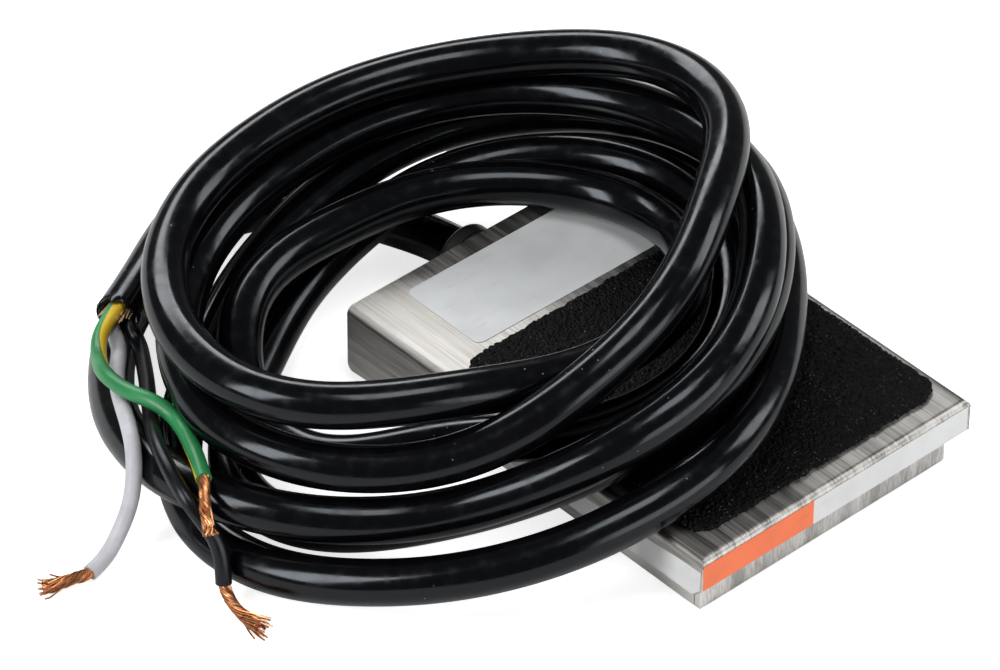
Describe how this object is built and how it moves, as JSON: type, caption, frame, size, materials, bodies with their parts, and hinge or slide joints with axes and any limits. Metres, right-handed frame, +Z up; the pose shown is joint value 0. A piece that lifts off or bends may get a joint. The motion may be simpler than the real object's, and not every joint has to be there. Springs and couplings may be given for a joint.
{
  "type": "foot switch",
  "caption": "Low sheet steel foot switch: a treadle with a gritty pad rocks over a tray with a snap switch, with a coiled three-core cord and bare ends.",
  "frame": {"origin": "middle of the switch's footprint at floor height, without the cord", "axes": "+Z up, -Y the front edge that the toe presses, +X to the right of the person who presses it"},
  "size_m": [0.1455, 0.133, 0.049],
  "materials": {
    "steel": "brushed along the treadle's length",
    "hardware": "bright zinc",
    "grit": "coarse mineral grit",
    "foot_rubber": "matt",
    "jacket": "glossy soft vinyl",
    "earth_vinyl": "green with a yellow stripe",
    "white_vinyl": "smooth",
    "black_vinyl": "smooth",
    "copper": "fine bare strands",
    "phenolic": "moulded",
    "cover_red": "moulded",
    "nylon": "smooth",
    "terminal_brass": "plated",
    "green_screw": "green dip",
    "fibre": "pressed fibre"
  },
  "bodies": {
    "base": {"base_tray": "steel", "foot_pad": "foot_rubber", "pivot_rivet_left": "hardware", "pivot_rivet_right": "hardware", "spacer_washers": "nylon", "spring_seat": "hardware", "return_spring": "hardware", "insulator_sheet": "fibre", "switch_bracket": "hardware", "bracket_rivets": "hardware", "switch_case": "phenolic", "switch_cover": "cover_red", "switch_screws": "hardware", "terminal_common": "terminal_brass", "terminal_open": "terminal_brass", "terminal_closed": "terminal_brass", "ground_screw": "green_screw", "ground_ring": "hardware", "strain_relief": "black_vinyl", "inner_jacket": "jacket", "lead_black": "black_vinyl", "lead_white": "white_vinyl", "lead_earth": "earth_vinyl", "cord_lead": "jacket", "cord_coil": "jacket", "core_earth": "earth_vinyl", "core_white": "white_vinyl", "core_black": "black_vinyl", "strands_earth": "copper", "strands_white": "copper", "strands_black": "copper"},
    "treadle": {"treadle_cover": "steel", "tread_pad": "grit", "actuator_stud": "hardware", "spring_stud": "hardware"},
    "plunger": {"switch_plunger": "nylon"}
  },
  "joints": [
    {"name": "treadle_rock", "type": "hinge", "parent": "base", "child": "treadle", "pos_m": [0, 0.0196, 0.0101], "axis": [1, 0, 0], "range_deg": [0, 2], "stiffness_Nm_per_rad": 2, "springref_deg": -5.73, "deforming": ["return_spring"]},
    {"name": "plunger_travel", "type": "slide", "parent": "base", "child": "plunger", "axis": [0, 0, -1], "range_m": [0, 0.00088]}
  ],
  "couplings": [
    {"joint": "plunger_travel", "follows": "treadle_rock", "m_per_rad": 0.0252}
  ]
}
